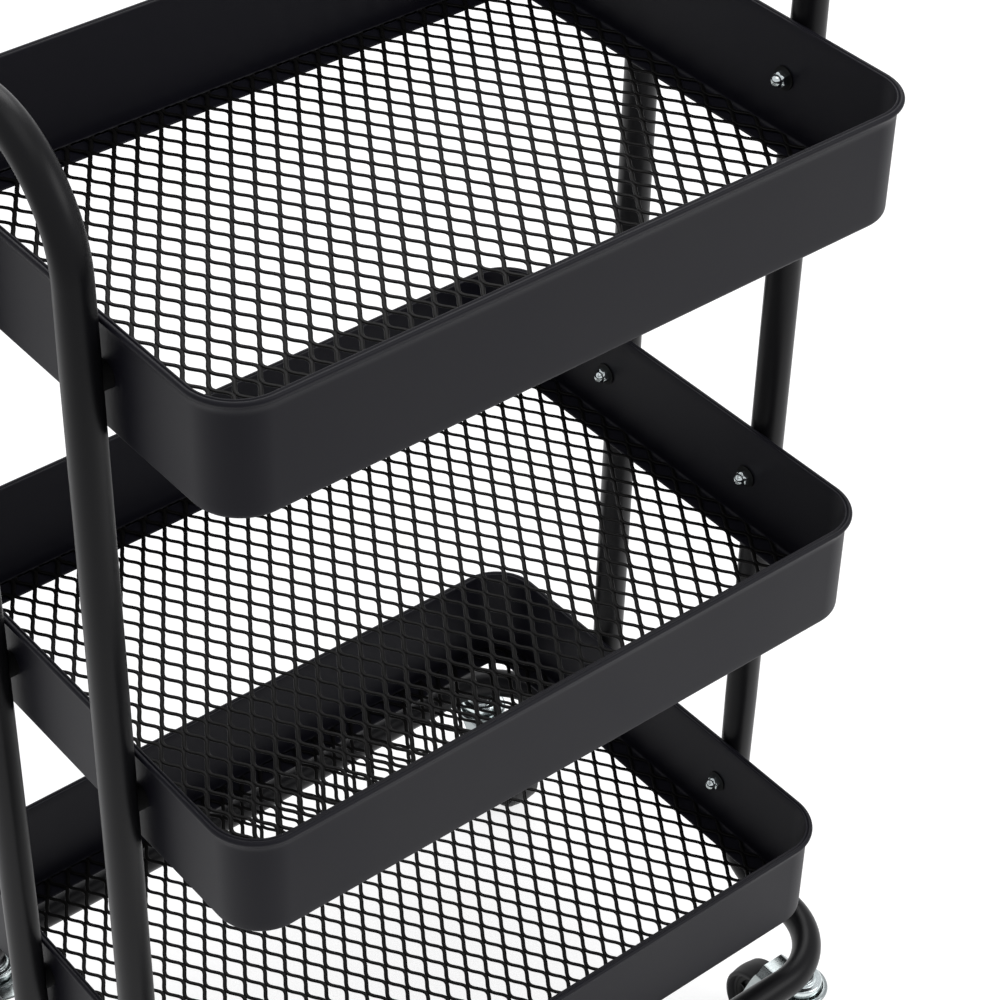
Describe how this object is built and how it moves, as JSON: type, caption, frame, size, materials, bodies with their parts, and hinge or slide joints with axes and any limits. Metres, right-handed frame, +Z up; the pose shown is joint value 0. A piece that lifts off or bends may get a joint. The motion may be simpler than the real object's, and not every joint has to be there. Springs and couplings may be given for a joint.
{
  "type": "rolling utility cart",
  "caption": "Rolling utility cart: shallow sheet-metal trays with mesh floors, stacked between bent-tube end frames with arched handles, on a tubular base with swivel casters.",
  "frame": {"origin": "on the floor, at the bottom centre of the bounding box", "axes": "+X along the trays to the right, +Y to the back, +Z up"},
  "size_m": [0.45, 0.3452, 0.7799],
  "materials": {
    "charcoal_paint": "fine matte powder coat",
    "black_paint": "satin powder coat",
    "bright_zinc": "bright plating",
    "plain_steel": "plain",
    "black_plastic": "moulded",
    "tyre_rubber": "smooth rubber"
  },
  "bodies": {
    "cart": {"top_tray": "charcoal_paint", "top_mesh_floor": "charcoal_paint", "top_tray_bolts": "bright_zinc", "top_tray_spacers": "black_plastic", "middle_tray": "charcoal_paint", "middle_mesh_floor": "charcoal_paint", "middle_tray_bolts": "bright_zinc", "middle_tray_spacers": "black_plastic", "bottom_tray": "charcoal_paint", "bottom_mesh_floor": "charcoal_paint", "bottom_tray_bolts": "bright_zinc", "bottom_tray_spacers": "black_plastic", "left_end_frame": "black_paint", "right_end_frame": "black_paint", "leg_thread_inserts": "plain_steel", "front_base_joiner": "plain_steel", "back_base_joiner": "plain_steel", "base_joiner_screws": "bright_zinc", "caster_thread_inserts": "plain_steel", "caster_race_balls": "bright_zinc", "front_right_caster_stem": "bright_zinc", "front_right_caster_race_cover": "bright_zinc", "front_left_caster_stem": "bright_zinc", "front_left_caster_race_cover": "bright_zinc", "back_right_caster_stem": "bright_zinc", "back_right_caster_race_cover": "bright_zinc", "back_left_caster_stem": "bright_zinc", "back_left_caster_race_cover": "bright_zinc"},
    "front_right_swivel": {"front_right_caster_fork": "bright_zinc", "front_right_caster_axle_bolt": "bright_zinc", "front_right_caster_axle_nut": "bright_zinc", "front_right_caster_axle_bush": "plain_steel"},
    "front_right_wheel": {"front_right_caster_wheel": "black_plastic", "front_right_caster_tyre": "tyre_rubber"},
    "front_left_swivel": {"front_left_caster_fork": "bright_zinc", "front_left_caster_axle_bolt": "bright_zinc", "front_left_caster_axle_nut": "bright_zinc", "front_left_caster_axle_bush": "plain_steel"},
    "front_left_wheel": {"front_left_caster_wheel": "black_plastic", "front_left_caster_tyre": "tyre_rubber"},
    "back_right_swivel": {"back_right_caster_fork": "bright_zinc", "back_right_caster_axle_bolt": "bright_zinc", "back_right_caster_axle_nut": "bright_zinc", "back_right_caster_axle_bush": "plain_steel"},
    "back_right_wheel": {"back_right_caster_wheel": "black_plastic", "back_right_caster_tyre": "tyre_rubber"},
    "back_left_swivel": {"back_left_caster_fork": "bright_zinc", "back_left_caster_axle_bolt": "bright_zinc", "back_left_caster_axle_nut": "bright_zinc", "back_left_caster_axle_bush": "plain_steel"},
    "back_left_wheel": {"back_left_caster_wheel": "black_plastic", "back_left_caster_tyre": "tyre_rubber"}
  },
  "joints": [
    {"name": "front_right_swivel_turn", "type": "hinge", "parent": "cart", "child": "front_right_swivel", "pos_m": [0.19093, -0.1556, 0.064], "axis": [0, 0, 1], "continuous": true},
    {"name": "front_right_wheel_roll", "type": "hinge", "parent": "front_right_swivel", "child": "front_right_wheel", "pos_m": [0.19093, -0.12759, 0.025], "axis": [-1, 0, 0], "continuous": true},
    {"name": "front_left_swivel_turn", "type": "hinge", "parent": "cart", "child": "front_left_swivel", "pos_m": [-0.19093, -0.1556, 0.064], "axis": [0, 0, 1], "continuous": true},
    {"name": "front_left_wheel_roll", "type": "hinge", "parent": "front_left_swivel", "child": "front_left_wheel", "pos_m": [-0.18416, -0.12843, 0.025], "axis": [-0.9703, 0.2419, 0], "continuous": true},
    {"name": "back_right_swivel_turn", "type": "hinge", "parent": "cart", "child": "back_right_swivel", "pos_m": [0.19093, 0.1556, 0.064], "axis": [0, 0, 1], "continuous": true},
    {"name": "back_right_wheel_roll", "type": "hinge", "parent": "back_right_swivel", "child": "back_right_wheel", "pos_m": [0.19093, 0.12759, 0.025], "axis": [1, 0, 0], "continuous": true},
    {"name": "back_left_swivel_turn", "type": "hinge", "parent": "cart", "child": "back_left_swivel", "pos_m": [-0.19093, 0.1556, 0.064], "axis": [0, 0, 1], "continuous": true},
    {"name": "back_left_wheel_roll", "type": "hinge", "parent": "back_left_swivel", "child": "back_left_wheel", "pos_m": [-0.1977, 0.12843, 0.025], "axis": [0.9703, -0.2419, 0], "continuous": true}
  ]
}
